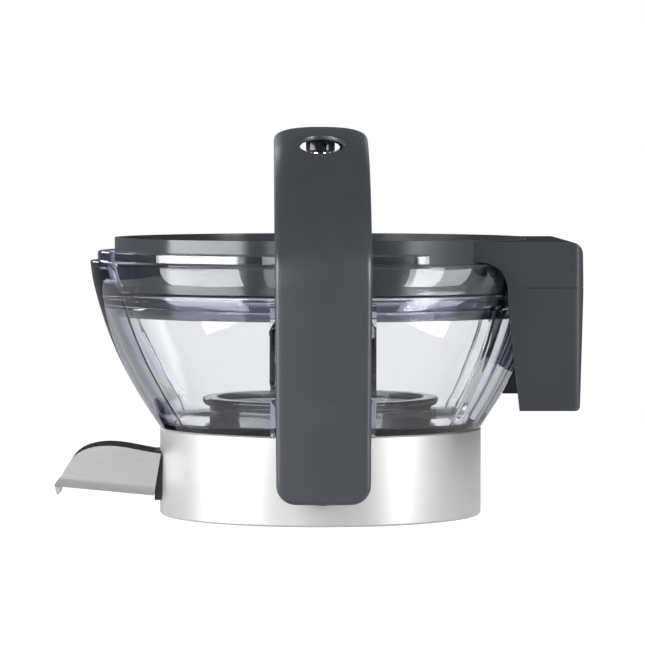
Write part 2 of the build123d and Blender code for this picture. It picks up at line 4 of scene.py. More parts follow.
import bmesh
import bpy
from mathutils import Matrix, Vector


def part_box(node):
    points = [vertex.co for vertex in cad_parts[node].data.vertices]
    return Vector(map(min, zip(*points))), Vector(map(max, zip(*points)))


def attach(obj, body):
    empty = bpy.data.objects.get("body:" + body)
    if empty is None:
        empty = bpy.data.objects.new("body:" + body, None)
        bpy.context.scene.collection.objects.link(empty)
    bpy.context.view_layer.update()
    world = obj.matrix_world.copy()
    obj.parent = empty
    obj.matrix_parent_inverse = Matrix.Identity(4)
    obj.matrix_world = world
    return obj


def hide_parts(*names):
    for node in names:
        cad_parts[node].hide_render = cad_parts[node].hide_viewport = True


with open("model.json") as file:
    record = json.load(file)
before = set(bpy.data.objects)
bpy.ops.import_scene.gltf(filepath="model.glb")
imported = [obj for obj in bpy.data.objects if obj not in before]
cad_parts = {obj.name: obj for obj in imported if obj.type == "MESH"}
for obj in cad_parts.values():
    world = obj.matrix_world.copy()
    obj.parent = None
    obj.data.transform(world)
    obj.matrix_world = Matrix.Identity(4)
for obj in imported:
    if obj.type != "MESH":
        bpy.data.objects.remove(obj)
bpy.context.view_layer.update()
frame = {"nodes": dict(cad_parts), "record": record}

MM = 0.001


# ---- sizes, read from the frame where it has them ------------------------------------------
def size_of(node):
    """Low and high corner of a CAD node."""
    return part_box(node)


BOWL_LOW, BOWL_HIGH = size_of("bowl")
RING_HIGH = size_of("rim_ring")[1]
ARM_LOW, ARM_HIGH = size_of("press_arm")
CONE_LOW, CONE_HIGH = size_of("reamer_cone")
BASE_LOW = size_of("base_ring")[0]

# ---- camera, in metres and radians, with its lens and sensor in mm --------------------------
CAMERA_DISTANCE = 1.907
CAMERA_HEIGHT = 0.172
CAMERA_AZIMUTH = math.radians(0.7)
CAMERA_DOWN = math.radians(2.4)
CAMERA_ASIDE = math.radians(0.03)
CAMERA_LENS = 220.5
CAMERA_SENSOR = 36.0
CAMERA_REACH = 50.0


def make_camera():
    data = bpy.data.cameras.new("camera")
    data.sensor_width = CAMERA_SENSOR
    data.lens = CAMERA_LENS
    data.clip_end = CAMERA_REACH
    camera = bpy.data.objects.new("camera", data)
    camera.location = (-CAMERA_DISTANCE * math.sin(CAMERA_AZIMUTH),
                       -CAMERA_DISTANCE * math.cos(CAMERA_AZIMUTH), CAMERA_HEIGHT)
    camera.rotation_euler = (math.pi / 2 - CAMERA_DOWN, 0.0, -(CAMERA_AZIMUTH + CAMERA_ASIDE))
    bpy.context.collection.objects.link(camera)
    bpy.context.scene.camera = camera


# ---- node helpers --------------------------------------------------------------------------
def new_material(name):
    material = bpy.data.materials.new(name)
    material.use_nodes = True
    tree = material.node_tree
    shader = tree.nodes["Principled BSDF"]
    return material, tree, shader


def object_coords(tree, scale=(1, 1, 1)):
    """Object coordinates in metres, stretched by scale."""
    coords = tree.nodes.new("ShaderNodeTexCoord")
    mapping = tree.nodes.new("ShaderNodeMapping")
    mapping.inputs["Scale"].default_value = scale
    tree.links.new(coords.outputs["Object"], mapping.inputs["Vector"])
    return mapping.outputs["Vector"]


def noise_of(tree, vector, scale, detail, roughness=0.55):
    texture = tree.nodes.new("ShaderNodeTexNoise")
    texture.inputs["Scale"].default_value = scale
    texture.inputs["Detail"].default_value = detail
    texture.inputs["Roughness"].default_value = roughness
    tree.links.new(vector, texture.inputs["Vector"])
    return texture.outputs["Fac"]


def ramp_of(tree, factor, stops):
    """Colour ramp with (place, colour) stops."""
    ramp = tree.nodes.new("ShaderNodeValToRGB")
    elements = ramp.color_ramp.elements
    while len(elements) < len(stops):
        elements.new(0.5)
    for element, (place, colour) in zip(elements, stops):
        element.position = place
        element.color = colour if len(colour) == 4 else (*colour, 1.0)
    tree.links.new(factor, ramp.inputs["Fac"])
    return ramp.outputs["Color"]


def range_of(tree, factor, low, high, source=(0.3, 0.7)):
    rescale = tree.nodes.new("ShaderNodeMapRange")
    rescale.inputs["From Min"].default_value = source[0]
    rescale.inputs["From Max"].default_value = source[1]
    rescale.inputs["To Min"].default_value = low
    rescale.inputs["To Max"].default_value = high
    tree.links.new(factor, rescale.inputs["Value"])
    return rescale.outputs["Result"]


def bump_of(tree, height, distance, strength=1.0):
    bump = tree.nodes.new("ShaderNodeBump")
    bump.inputs["Distance"].default_value = distance
    bump.inputs["Strength"].default_value = strength
    tree.links.new(height, bump.inputs["Height"])
    return bump.outputs["Normal"]


def grey(value):
    return (value, value, value)


# ---- materials -----------------------------------------------------------------------------
# Depth of each surface's fine relief, in metres.
MOULD_GRAIN = 0.000012
METAL_GRAIN = 0.00001
BRUSH_LINES = 0.000012
TOOL_RINGS = 0.000004
RUBBER_MOTTLE = 0.00004
FLOW_WAVES = 0.00008

TOOL_RING_SCALE = 1400.0
HANDLE_X = (0.026, 0.050)       # where the polished rim turns into the satin handle
UPWARD = (0.6, 0.9)             # upright part of the normal, from sides to top faces
# Painted shade inside the spout trough: faces that look across it or up out of it are painted
# black.
INNER_SHADE_ACROSS = (-0.006, -0.002)
INNER_SHADE_UP = (0.25, 0.45)
INNER_SHADE_BLACK = (0.012, 0.012, 0.014, 1.0)


def moulded_plastic(name, dark, light, rough):
    """Moulded plastic: slow colour drift, a very fine grain and uneven gloss."""
    material, tree, shader = new_material(name)
    vector = object_coords(tree)
    drift = noise_of(tree, vector, 18.0, 3.0)
    fine = noise_of(tree, vector, 2600.0, 2.0, 0.6)
    tree.links.new(ramp_of(tree, drift, [(0.35, dark), (0.65, light)]), shader.inputs["Base Color"])
    blotch = noise_of(tree, vector, 60.0, 5.0)
    tree.links.new(range_of(tree, blotch, *rough), shader.inputs["Roughness"])
    tree.links.new(bump_of(tree, fine, MOULD_GRAIN), shader.inputs["Normal"])
    shader.inputs["Specular IOR Level"].default_value = 0.5
    return material


def ring_plastic():
    """Polished on the rim, satin with fine upright grain on the handle, and matt on top."""
    material = moulded_plastic("dark_plastic", *DARK_GREY, rough=(0.10, 0.15))
    tree = material.node_tree
    shader = tree.nodes["Principled BSDF"]
    polish = shader.inputs["Roughness"].links[0].from_socket
    coords = tree.nodes.new("ShaderNodeTexCoord")
    split = tree.nodes.new("ShaderNodeSeparateXYZ")
    tree.links.new(coords.outputs["Object"], split.inputs[0])
    handle = range_of(tree, split.outputs["X"], 0.0, 1.0, HANDLE_X)
    streaks = noise_of(tree, object_coords(tree, (900.0, 900.0, 12.0)), 1.0, 3.0)
    satin = range_of(tree, streaks, 0.29, 0.33)
    mix = tree.nodes.new("ShaderNodeMix")
    tree.links.new(handle, mix.inputs["Factor"])
    tree.links.new(polish, mix.inputs["A"])
    tree.links.new(satin, mix.inputs["B"])
    normal = tree.nodes.new("ShaderNodeSeparateXYZ")
    tree.links.new(coords.outputs["Normal"], normal.inputs[0])
    matt = range_of(tree, normal.outputs["Z"], 0.0, 0.48, UPWARD)
    rough = tree.nodes.new("ShaderNodeMath")
    rough.operation = "MAXIMUM"
    tree.links.new(mix.outputs["Result"], rough.inputs[0])
    tree.links.new(matt, rough.inputs[1])
    tree.links.new(rough.outputs[0], shader.inputs["Roughness"])
    up = range_of(tree, normal.outputs["Z"], 0.0, 1.0, UPWARD)
    gloss = tree.nodes.new("ShaderNodeMix")
    tree.links.new(up, gloss.inputs["Factor"])
    tree.links.new(range_of(tree, handle, 0.5, 0.18, (0.0, 1.0)), gloss.inputs["A"])
    tree.links.new(range_of(tree, handle, 0.17, 0.004, (0.0, 1.0)), gloss.inputs["B"])
    tree.links.new(gloss.outputs["Result"], shader.inputs["Specular IOR Level"])
    return material


def satin_silver():
    """Bead-blasted and painted silver: a fine sparkle grain over a soft metal."""
    material, tree, shader = new_material("satin_silver")
    vector = object_coords(tree)
    speck = noise_of(tree, vector, 3200.0, 2.0, 0.7)
    drift = noise_of(tree, vector, 25.0, 3.0)
    silver = ramp_of(tree, speck, [(0.30, grey(0.48)), (0.70, grey(0.56))])
    tree.links.new(silver, shader.inputs["Base Color"])
    tree.links.new(range_of(tree, drift, 0.36, 0.41), shader.inputs["Roughness"])
    tree.links.new(bump_of(tree, speck, METAL_GRAIN), shader.inputs["Normal"])
    shader.inputs["Metallic"].default_value = 0.65
    return material


def brushed_steel():
    """Satin steel sheet, brushed along the trough, with painted shade that turns its inner faces
    black.
    """
    material, tree, shader = new_material("brushed_steel")
    vector = object_coords(tree, (30.0, 900.0, 900.0))
    lines = noise_of(tree, vector, 3.0, 4.0, 0.6)
    smear = noise_of(tree, object_coords(tree), 45.0, 3.0)
    steel = ramp_of(tree, lines, [(0.3, grey(0.50)), (0.7, grey(0.56))])
    tree.links.new(range_of(tree, smear, 0.40, 0.46), shader.inputs["Roughness"])
    tree.links.new(bump_of(tree, lines, BRUSH_LINES), shader.inputs["Normal"])
    shader.inputs["Anisotropic"].default_value = 0.3
    # Painted shade: the trough's inner faces turn black and lose their metal.
    inner_shade = inner_shade_mask(tree)
    mix = tree.nodes.new("ShaderNodeMix")
    mix.data_type = "RGBA"
    mix.inputs["B"].default_value = INNER_SHADE_BLACK
    tree.links.new(inner_shade, mix.inputs["Factor"])
    tree.links.new(steel, mix.inputs["A"])
    tree.links.new(mix.outputs["Result"], shader.inputs["Base Color"])
    tree.links.new(range_of(tree, inner_shade, 1.0, 0.0, (0.0, 1.0)), shader.inputs["Metallic"])
    return material


def inner_shade_mask(tree):
    """Mask of painted shade: 1 on faces that look across the trough or up out of it, 0 on its
    outside.
    """
    coords = tree.nodes.new("ShaderNodeTexCoord")
    place = tree.nodes.new("ShaderNodeSeparateXYZ")
    tree.links.new(coords.outputs["Object"], place.inputs[0])
    normal = tree.nodes.new("ShaderNodeSeparateXYZ")
    tree.links.new(coords.outputs["Normal"], normal.inputs[0])
    across = tree.nodes.new("ShaderNodeMath")
    across.operation = "MULTIPLY"
    tree.links.new(place.outputs["Y"], across.inputs[0])
    tree.links.new(normal.outputs["Y"], across.inputs[1])
    inward = range_of(tree, across.outputs[0], 1.0, 0.0, INNER_SHADE_ACROSS)
    upward = range_of(tree, normal.outputs["Z"], 0.0, 1.0, INNER_SHADE_UP)
    either = tree.nodes.new("ShaderNodeMath")
    either.operation = "MAXIMUM"
    tree.links.new(inward, either.inputs[0])
    tree.links.new(upward, either.inputs[1])
    return either.outputs[0]


def turned_metal(name, dark, light, rough=(0.16, 0.26)):
    """Turned metal with fine tool rings along the part."""
    material, tree, shader = new_material(name)
    vector = object_coords(tree)
    wave = tree.nodes.new("ShaderNodeTexWave")
    wave.bands_direction = "DIAGONAL"
    wave.inputs["Scale"].default_value = TOOL_RING_SCALE
    wave.inputs["Distortion"].default_value = 1.5
    tree.links.new(vector, wave.inputs["Vector"])
    stain = noise_of(tree, vector, 120.0, 4.0)
    tree.links.new(ramp_of(tree, stain, [(0.3, dark), (0.7, light)]), shader.inputs["Base Color"])
    tree.links.new(range_of(tree, stain, *rough), shader.inputs["Roughness"])
    tree.links.new(bump_of(tree, wave.outputs["Fac"], TOOL_RINGS), shader.inputs["Normal"])
    shader.inputs["Metallic"].default_value = 1.0
    return material


def soft_rubber():
    """Dull black rubber with a faint mottle."""
    material, tree, shader = new_material("seal_rubber")
    vector = object_coords(tree)
    mottle = noise_of(tree, vector, 400.0, 5.0)
    black = ramp_of(tree, mottle, [(0.3, grey(0.018)), (0.7, grey(0.034))])
    tree.links.new(black, shader.inputs["Base Color"])
    tree.links.new(range_of(tree, mottle, 0.62, 0.8), shader.inputs["Roughness"])
    tree.links.new(bump_of(tree, mottle, RUBBER_MOTTLE), shader.inputs["Normal"])
    return material


CLEAR_TINT = (0.972, 0.975, 0.985)
CLEAR_ABSORB = (0.70, 0.74, 0.88)
CLEAR_DENSITY = 26.0
# Painted edge shade: colour that light takes on, by how far the surface turns away: 0 faces the
# eye, 1 is edge on.
EDGE_SHADE_TINTS = ((0.34, (1.0, 1.0, 1.0)), (0.54, (0.90, 0.91, 0.94)), (0.68, (0.56, 0.58, 0.67)),
              (0.78, (0.06, 0.07, 0.12)), (1.0, (0.0, 0.0, 0.01)))


def clear_plastic(name="clear_plastic", tint=CLEAR_TINT, absorb=CLEAR_ABSORB, density=CLEAR_DENSITY,
                  rough=(0.0, 0.02)):
    """Clear moulded plastic with faint flow waves, and painted shade that darkens its colour to
    near black along its edges.
    """
    material, tree, shader = new_material(name)
    vector = object_coords(tree, (1.0, 1.0, 0.35))
    flow = noise_of(tree, vector, 55.0, 2.0)
    haze = noise_of(tree, object_coords(tree), 160.0, 4.0)
    low = tuple(0.985 * c for c in tint)
    body = ramp_of(tree, haze, [(0.3, low), (0.7, tint)])
    # Painted shade: the colour darkens to near black where the surface turns edge on.
    facing = tree.nodes.new("ShaderNodeLayerWeight")
    facing.inputs["Blend"].default_value = 0.5
    edge = ramp_of(tree, facing.outputs["Facing"], EDGE_SHADE_TINTS)
    mix = tree.nodes.new("ShaderNodeMix")
    mix.data_type = "RGBA"
    mix.blend_type = "MULTIPLY"
    mix.inputs["Factor"].default_value = 1.0
    tree.links.new(body, mix.inputs["A"])
    tree.links.new(edge, mix.inputs["B"])
    tree.links.new(mix.outputs["Result"], shader.inputs["Base Color"])
    tree.links.new(range_of(tree, haze, *rough), shader.inputs["Roughness"])
    tree.links.new(bump_of(tree, flow, FLOW_WAVES, 0.5), shader.inputs["Normal"])
    shader.inputs["Transmission Weight"].default_value = 1.0
    shader.inputs["IOR"].default_value = 1.49
    volume = tree.nodes.new("ShaderNodeVolumeAbsorption")
    volume.inputs["Color"].default_value = (*absorb, 1.0)
    volume.inputs["Density"].default_value = density
    tree.links.new(volume.outputs["Volume"], tree.nodes["Material Output"].inputs["Volume"])
    return material


# Dark and light end of each colour's drift.
DARK_GREY = ((0.033, 0.037, 0.044), (0.038, 0.043, 0.051))
ARM_GREY = ((0.031, 0.036, 0.044), (0.037, 0.042, 0.051))
SMOKE_GREY = ((0.05, 0.055, 0.062), (0.062, 0.068, 0.076))
NYLON_WHITE = ((0.74, 0.72, 0.65), (0.82, 0.80, 0.74))
BRONZE = ((0.50, 0.33, 0.14), (0.62, 0.43, 0.20))
# Surface tint, absorption colour and density of the smoky clear plastics.
SKIRT_SMOKE = ((0.93, 0.94, 0.96), (0.55, 0.58, 0.64), 320.0)
COLLAR_SMOKE = ((0.90, 0.91, 0.93), (0.50, 0.52, 0.56), 330.0)


def make_materials():
    """Every material, by its CAD slot or by the piece that wears it."""
    return {
        "base_silver": satin_silver(),
        "spout_steel": brushed_steel(),
        "dark_plastic": ring_plastic(),
        "arm_plastic": moulded_plastic("arm_plastic", *ARM_GREY, (0.30, 0.42)),
        "black_plastic": moulded_plastic("black_plastic", grey(0.012), grey(0.02), (0.35, 0.5)),
        "smoke_plastic": moulded_plastic("smoke_plastic", *SMOKE_GREY, (0.08, 0.16)),
        "gear_nylon": moulded_plastic("gear_nylon", *NYLON_WHITE, (0.4, 0.55)),
        "screw_steel": turned_metal("screw_steel", grey(0.48), grey(0.62)),
        "bush_bronze": turned_metal("bush_bronze", *BRONZE, (0.25, 0.4)),
        "seal_rubber": soft_rubber(),
        "clear_plastic": clear_plastic(),
        "skirt_plastic": clear_plastic("skirt_plastic", *SKIRT_SMOKE, (0.04, 0.10)),
        "collar_plastic": clear_plastic("collar_plastic", *COLLAR_SMOKE, (0.08, 0.16)),
    }


# ---- mesh helpers --------------------------------------------------------------------------
WELD = 0.000002             # metres
CAD_WELD = 0.000004
CAD_FLAT_ANGLE = 0.6        # degrees
BEVEL_ANGLE = 32.0
BEVEL_SEGMENTS = 3
ROUND_STEPS = 320           # steps of a full turn on large round pieces


def full_turn(count):
    return [2 * math.pi * i / count for i in range(count)]


def rounded(points, radius, steps):
    """Closed outline with short arcs for corners. A point's third value is its own radius."""
    result = []
    count = len(points)
    for i in range(count):
        here = Vector(points[i][:2])
        before = Vector(points[i - 1][:2]) - here
        after = Vector(points[(i + 1) % count][:2]) - here
        wanted = points[i][2] if len(points[i]) > 2 else radius
        turn = math.pi - before.angle(after)
        if wanted <= 0 or turn < 0.02:
            result.append(tuple(here))
            continue
        reach = min(wanted * math.tan(turn / 2), 0.45 * before.length, 0.45 * after.length)
        start = here + before.normalized() * reach
        end = here + after.normalized() * reach
        for k in range(steps + 1):
            t = k / steps
            result.append(tuple((1 - t) ** 2 * start + 2 * t * (1 - t) * here + t * t * end))
    return result


def object_from(name, verts, faces, smooth_angle=35.0):
    mesh = bpy.data.meshes.new(name)
    mesh.from_pydata(verts, [], faces)
    mesh.validate()
    made = bpy.data.objects.new(name, mesh)
    bpy.context.collection.objects.link(made)
    tidy_mesh(made)
    smooth(made, smooth_angle)
    return made


def tidy_mesh(made):
    work = bmesh.new()
    work.from_mesh(made.data)
    bmesh.ops.remove_doubles(work, verts=work.verts, dist=WELD)
    bmesh.ops.recalc_face_normals(work, faces=work.faces)
    work.to_mesh(made.data)
    work.free()


def smooth(made, angle):
    """Smooth shading, with edges sharper than angle degrees kept."""
    mesh = made.data
    for polygon in mesh.polygons:
        polygon.use_smooth = True
    mesh.set_sharp_from_angle(angle=math.radians(angle))


def lathe(name, outline, angles, radius_at=None, smooth_angle=35.0):
    """Closed outline of (radius, height) turned about Z. radius_at may change each radius."""
    verts = []
    for angle in angles:
        for r, z in outline:
            here = radius_at(r, z, angle) if radius_at else r
            verts.append((here * math.cos(angle), here * math.sin(angle), z))
    count = len(outline)
    faces = []
    for i in range(len(angles)):
        a = i * count
        b = ((i + 1) % len(angles)) * count
        for j in range(count):
            k = (j + 1) % count
            faces.append((a + j, b + j, b + k, a + k))
    return object_from(name, verts, faces, smooth_angle)


def prism(name, outline, low, high, axis="Y"):
    """Closed outline pushed along X, Y or Z. It is in (y, z), (x, z) or (x, y)."""
    place = {"X": lambda p, d: (d, p[0], p[1]),
             "Y": lambda p, d: (p[0], d, p[1]),
             "Z": lambda p, d: (p[0], p[1], d)}
    verts = [place[axis](p, low) for p in outline] + [place[axis](p, high) for p in outline]
    count = len(outline)
    faces = [tuple(range(count)), tuple(range(2 * count - 1, count - 1, -1))]
    faces += [(i, (i + 1) % count, count + (i + 1) % count, count + i) for i in range(count)]
    return object_from(name, verts, faces)


def combine(target, tool, how):
    """Boolean of target with tool, which is used up."""
    modifier = target.modifiers.new("combine", "BOOLEAN")
    modifier.operation = how
    modifier.solver = "EXACT"
    modifier.object = tool
    apply_modifiers(target)
    bpy.data.objects.remove(tool)
    return target


def apply_modifiers(target):
    graph = bpy.context.evaluated_depsgraph_get()
    mesh = bpy.data.meshes.new_from_object(target.evaluated_get(graph))
    target.modifiers.clear()
    old = target.data
    target.data = mesh
    bpy.data.meshes.remove(old)


def softened(node_name, piece_name, width):
    """A copy of a CAD node with its edges rounded over, which stands for the node."""
    source = frame["nodes"][node_name]
    mesh = source.data.copy()
    made = bpy.data.objects.new(piece_name, mesh)
    bpy.context.collection.objects.link(made)
    work = bmesh.new()
    work.from_mesh(mesh)
    bmesh.ops.remove_doubles(work, verts=work.verts, dist=CAD_WELD)
    flat = math.radians(CAD_FLAT_ANGLE)
    bmesh.ops.dissolve_limit(work, angle_limit=flat, verts=work.verts, edges=work.edges)
    work.to_mesh(mesh)
    work.free()
    bevel = made.modifiers.new("round", "BEVEL")
    bevel.width = width
    bevel.segments = BEVEL_SEGMENTS
    bevel.limit_method = "ANGLE"
    bevel.angle_limit = math.radians(BEVEL_ANGLE)
    bevel.use_clamp_overlap = True
    bevel.miter_outer = "MITER_ARC"
    apply_modifiers(made)
    even_shading(made)
    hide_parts(node_name)
    return made


def even_shading(made):
    """Smooth shading in which the broad faces stay flat and only the rounded edges turn."""
    smooth(made, 40.0)
    even = made.modifiers.new("even", "WEIGHTED_NORMAL")
    even.mode = "FACE_AREA"
    even.weight = 100
    even.keep_sharp = True
    apply_modifiers(made)


def dress(made, material, body):
    made.data.materials.clear()
    made.data.materials.append(MATERIALS[material])
    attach(made, body)


# ---- bowl ----------------------------------------------------------------------------------
BOWL_WALL = 3.0 * MM
# Outer radius and height in mm.
WALL_POINTS = [(77.5, 42.2), (81.4, 48.0), (88.6, 59.5), (97.8, 77.0), (104.5, 94.3),
               (109.4, 111.7), (111.0, 122.3)]
COLLAR_R = 107.3 * MM
COLLAR_Z = BOWL_HIGH.z
FLANGE_Z = 122.3 * MM
LEDGE_Z = 108.0 * MM
NOTCH_X = 85.8 * MM
NOTCH_R = 12.5 * MM
NOTCH_LOW_Z = 104.0 * MM
COLLAR_END_X = 48.7 * MM
GUIDE_X = 22.0 * MM
GUIDE_WALL = 2.2 * MM
GUIDE_FOOT_Y = (74.0 * MM, 86.0 * MM)
GUIDE_IN_Y = 103.0 * MM
GUIDE_OUT_Y = 110.0 * MM
GUIDE_SIDE_Z = 62.0 * MM
GUIDE_TOP_Z = BOWL_LOW.z + 62.8 * MM
FLOOR_HOLE_R = 44.5 * MM
FLOOR_TOP_Z = 45.2 * MM
LIP_R = 100.9 * MM
FAR = 0.15                  # beyond the bowl in any direction
CUT_HALF = 0.13             # half length of the blocks that cut the rim
# Degrees from the front or rear where the plain panels end.
FACET_EDGE = 49.2
SPOUT_SIDE_EDGE = 55.3
FACET_LEAN = 4.7
FACET_RISE = 60 * MM
REAR_SHIFT = 5.0
FACET_WIDTH = 0.7
FACET_DEPTH = (0.35 * MM, 0.55 * MM)    # front, rear
FLUTE_START = 3
FLUTE_PITCH = 12.5
FLUTE_DEPTH = 0.8 * MM
FLUTE_Z = (43.5 * MM, 107 * MM)
FLUTE_FADE = (4 * MM, 5 * MM)           # at the foot, at the top
COARSE_STEPS = 480
FINE_START = -1.2           # degrees from the panel's edge
FINE_STEP = 0.25
FINE_STEPS = 64


def wall_radius(z):
    """Outer radius of the bowl at a height, smooth through the wall points."""
    points = [(r * MM, h * MM) for r, h in WALL_POINTS]
    if z <= points[0][1]:
        return points[0][0]
    for i in range(len(points) - 1):
        if z <= points[i + 1][1] + 1e-9:
            break
    before = points[max(i - 1, 0)]
    a = points[i]
    b = points[i + 1]
    after = points[min(i + 2, len(points) - 1)]
    t = (z - a[1]) / (b[1] - a[1])
    slope_a = (b[0] - before[0]) / (b[1] - before[1]) * (b[1] - a[1])
    slope_b = (after[0] - a[0]) / (after[1] - a[1]) * (b[1] - a[1])
    return ((2 * t ** 3 - 3 * t ** 2 + 1) * a[0] + (t ** 3 - 2 * t ** 2 + t) * slope_a
            + (3 * t ** 2 - 2 * t ** 3) * b[0] + (t ** 3 - t ** 2) * slope_b)


def steps_between(low, high, count):
    return [low + (high - low) * i / count for i in range(count + 1)]


def ease(x):
    x = min(1.0, max(0.0, x))
    return x * x * (3 - 2 * x)


def from_front(angle):
    """Angle from the nearer of the front and the rear."""
    return abs(math.remainder(angle + math.pi / 2, math.pi))


def facet_edge(angle, z):
    """Degrees from the front or rear where the plain panel ends. It leans out on the spout side."""
    rise = min(1.0, max(0.0, (z - BOWL_LOW.z) / FACET_RISE))
    edge = SPOUT_SIDE_EDGE + FACET_LEAN * rise if math.cos(angle) < 0 else FACET_EDGE
    return edge + (REAR_SHIFT if math.sin(angle) > 0 else 0.0)


def flute_at(angle, z):
    """How far the outer wall is pulled in: a groove by each panel, and flutes by the handle."""
    height = ease((z - FLUTE_Z[0]) / FLUTE_FADE[0]) * ease((FLUTE_Z[1] - z) / FLUTE_FADE[1])
    beyond = math.degrees(from_front(angle)) - facet_edge(angle, z)
    groove = ease(1 - abs(beyond) / FACET_WIDTH)
    wave = 0.0
    if math.cos(angle) > 0:
        past = beyond - FLUTE_START
        wave = ease(past / 4) * (0.5 - 0.5 * math.cos(2 * math.pi * past / FLUTE_PITCH))
    return height * (FACET_DEPTH[math.sin(angle) > 0] * groove + FLUTE_DEPTH * wave)


def bowl_angles():
    """Angles round the bowl, close together where the facet edges lie."""
    places = set(round(360 / COARSE_STEPS * i, 4) for i in range(COARSE_STEPS))
    edges = [FACET_EDGE + FINE_START + FINE_STEP * k for k in range(FINE_STEPS)]
    for base in (90, 270):
        for side in (-1, 1):
            places |= set(round((base + side * edge) % 360, 4) for edge in edges)
    return [math.radians(place) for place in sorted(places)]


def bowl_outline():
    outer = [(wall_radius(z), z) for z in steps_between(BOWL_LOW.z, FLANGE_Z - 0.4 * MM, 36)]
    rim = [(wall_radius(FLANGE_Z) - 0.4 * MM, FLANGE_Z), (COLLAR_R + 0.5 * MM, FLANGE_Z),
           (COLLAR_R, FLANGE_Z + 0.5 * MM), (COLLAR_R, COLLAR_Z - 0.6 * MM),
           (COLLAR_R - 0.6 * MM, COLLAR_Z), (COLLAR_R - 2.6 * MM, COLLAR_Z),
           (COLLAR_R - 3.2 * MM, COLLAR_Z - 0.6 * MM)]
    ledge_r = wall_radius(LEDGE_Z) - BOWL_WALL
    well = [(COLLAR_R - 3.2 * MM, 115.0 * MM), (ledge_r, LEDGE_Z + 0.8 * MM),
            (ledge_r - 0.8 * MM, LEDGE_Z), (LIP_R + 0.4 * MM, LEDGE_Z),
            (LIP_R, LEDGE_Z - 0.5 * MM), (LIP_R, LEDGE_Z - 2.2 * MM)]
    inner = [(wall_radius(z - 2.2 * MM) - BOWL_WALL, z)
             for z in steps_between(101 * MM, 50 * MM, 24)]
    bottom = [(77.2 * MM, 46.6 * MM), (75.4 * MM, 45.5 * MM), (73.0 * MM, FLOOR_TOP_Z),
              (FLOOR_HOLE_R, FLOOR_TOP_Z), (FLOOR_HOLE_R, BOWL_LOW.z)]
    return outer + rim + well + inner + bottom


def bowl_radius(r, z, angle):
    outer = wall_radius(z)
    if r > outer - 0.5 * MM and z < FLANGE_Z - 1 * MM:
        return r - flute_at(angle, z)
    return r


def rim_corner():
    """Side outline of the block that leaves the rim its round corner at the handle."""
    x = NOTCH_X
    z = FLANGE_Z
    deep = z - 60 * MM
    return rounded([(x - FAR, deep, 0), (x, deep, 0), (x, z, NOTCH_R), (x - FAR, z, 0)], 0, 12)


def make_bowl():
    bowl = lathe("bowl_shell", bowl_outline(), bowl_angles(), bowl_radius)
    back = NOTCH_X - 30 * MM
    notch = [(back, NOTCH_LOW_Z), (FAR, NOTCH_LOW_Z), (FAR, FAR), (back, FAR)]
    space = prism("space", notch, -CUT_HALF, CUT_HALF)
    past = CUT_HALF + 10 * MM
    combine(space, prism("corner", rim_corner(), -past, past), "DIFFERENCE")
    combine(bowl, space, "DIFFERENCE")
    low = FLANGE_Z + 0.01 * MM
    end = [(COLLAR_END_X, low), (FAR, low), (FAR, FAR), (COLLAR_END_X, FAR)]
    combine(bowl, prism("end", end, -CUT_HALF, CUT_HALF), "DIFFERENCE")
    for side in (-1, 1):
        left = side * (GUIDE_X + GUIDE_WALL / 2) - GUIDE_WALL / 2
        for s in (-1, 1):
            corners = [(s * GUIDE_FOOT_Y[0], BOWL_LOW.z), (s * GUIDE_FOOT_Y[1], BOWL_LOW.z),
                       (s * GUIDE_OUT_Y, GUIDE_SIDE_Z), (s * GUIDE_OUT_Y, GUIDE_TOP_Z),
                       (s * GUIDE_IN_Y, GUIDE_TOP_Z)]
            outline = rounded(corners, 1.5 * MM, 4)
            combine(bowl, prism("guide", outline, left, left + GUIDE_WALL, "X"), "UNION")
    tidy_mesh(bowl)
    smooth(bowl, 40.0)
    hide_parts("bowl")
    dress(bowl, "clear_plastic", "base")


# ---- press arm -----------------------------------------------------------------------------
ARM_OUT_Y = ARM_HIGH.y
ARM_TOP_Z = ARM_HIGH.z
ARM_ARC_R = 150.5 * MM
ARM_SHOULDER_R = 33.0 * MM
ARM_DEPTH = 8.0 * MM
ARM_PLATE = 3.0 * MM
ARM_TOP_HALF = 22.5 * MM
ARM_FOOT_HALF = 21.5 * MM
ARM_FOOT_CORNER = 9.0 * MM
ARM_EDGE_R = 2.2 * MM
ARM_CROWN = 1.2 * MM
ARM_STEP = 1.6 * MM
TOP_DROP = 6.8 * MM         # how far the crown falls to its two edges
TOP_ROUNDNESS = 2.6
PIVOT_Z = 25.0 * MM
ARM_HOLE_Y = 49.0 * MM
ARM_HOLE_HALF = (10.25 * MM, 12.75 * MM)    # across, along
ARM_WALL = 2.6 * MM
ARM_LIP = 0.5 * MM
CROWN_INSET = 5.5 * MM      # how much narrower the hollow is on the crown, on each side
CROWN_THINNING = 1.0 * MM
HUB_R = 9.5 * MM
HUB_BORE_R = 6.2 * MM
HUB_IN_Y = 113.4 * MM


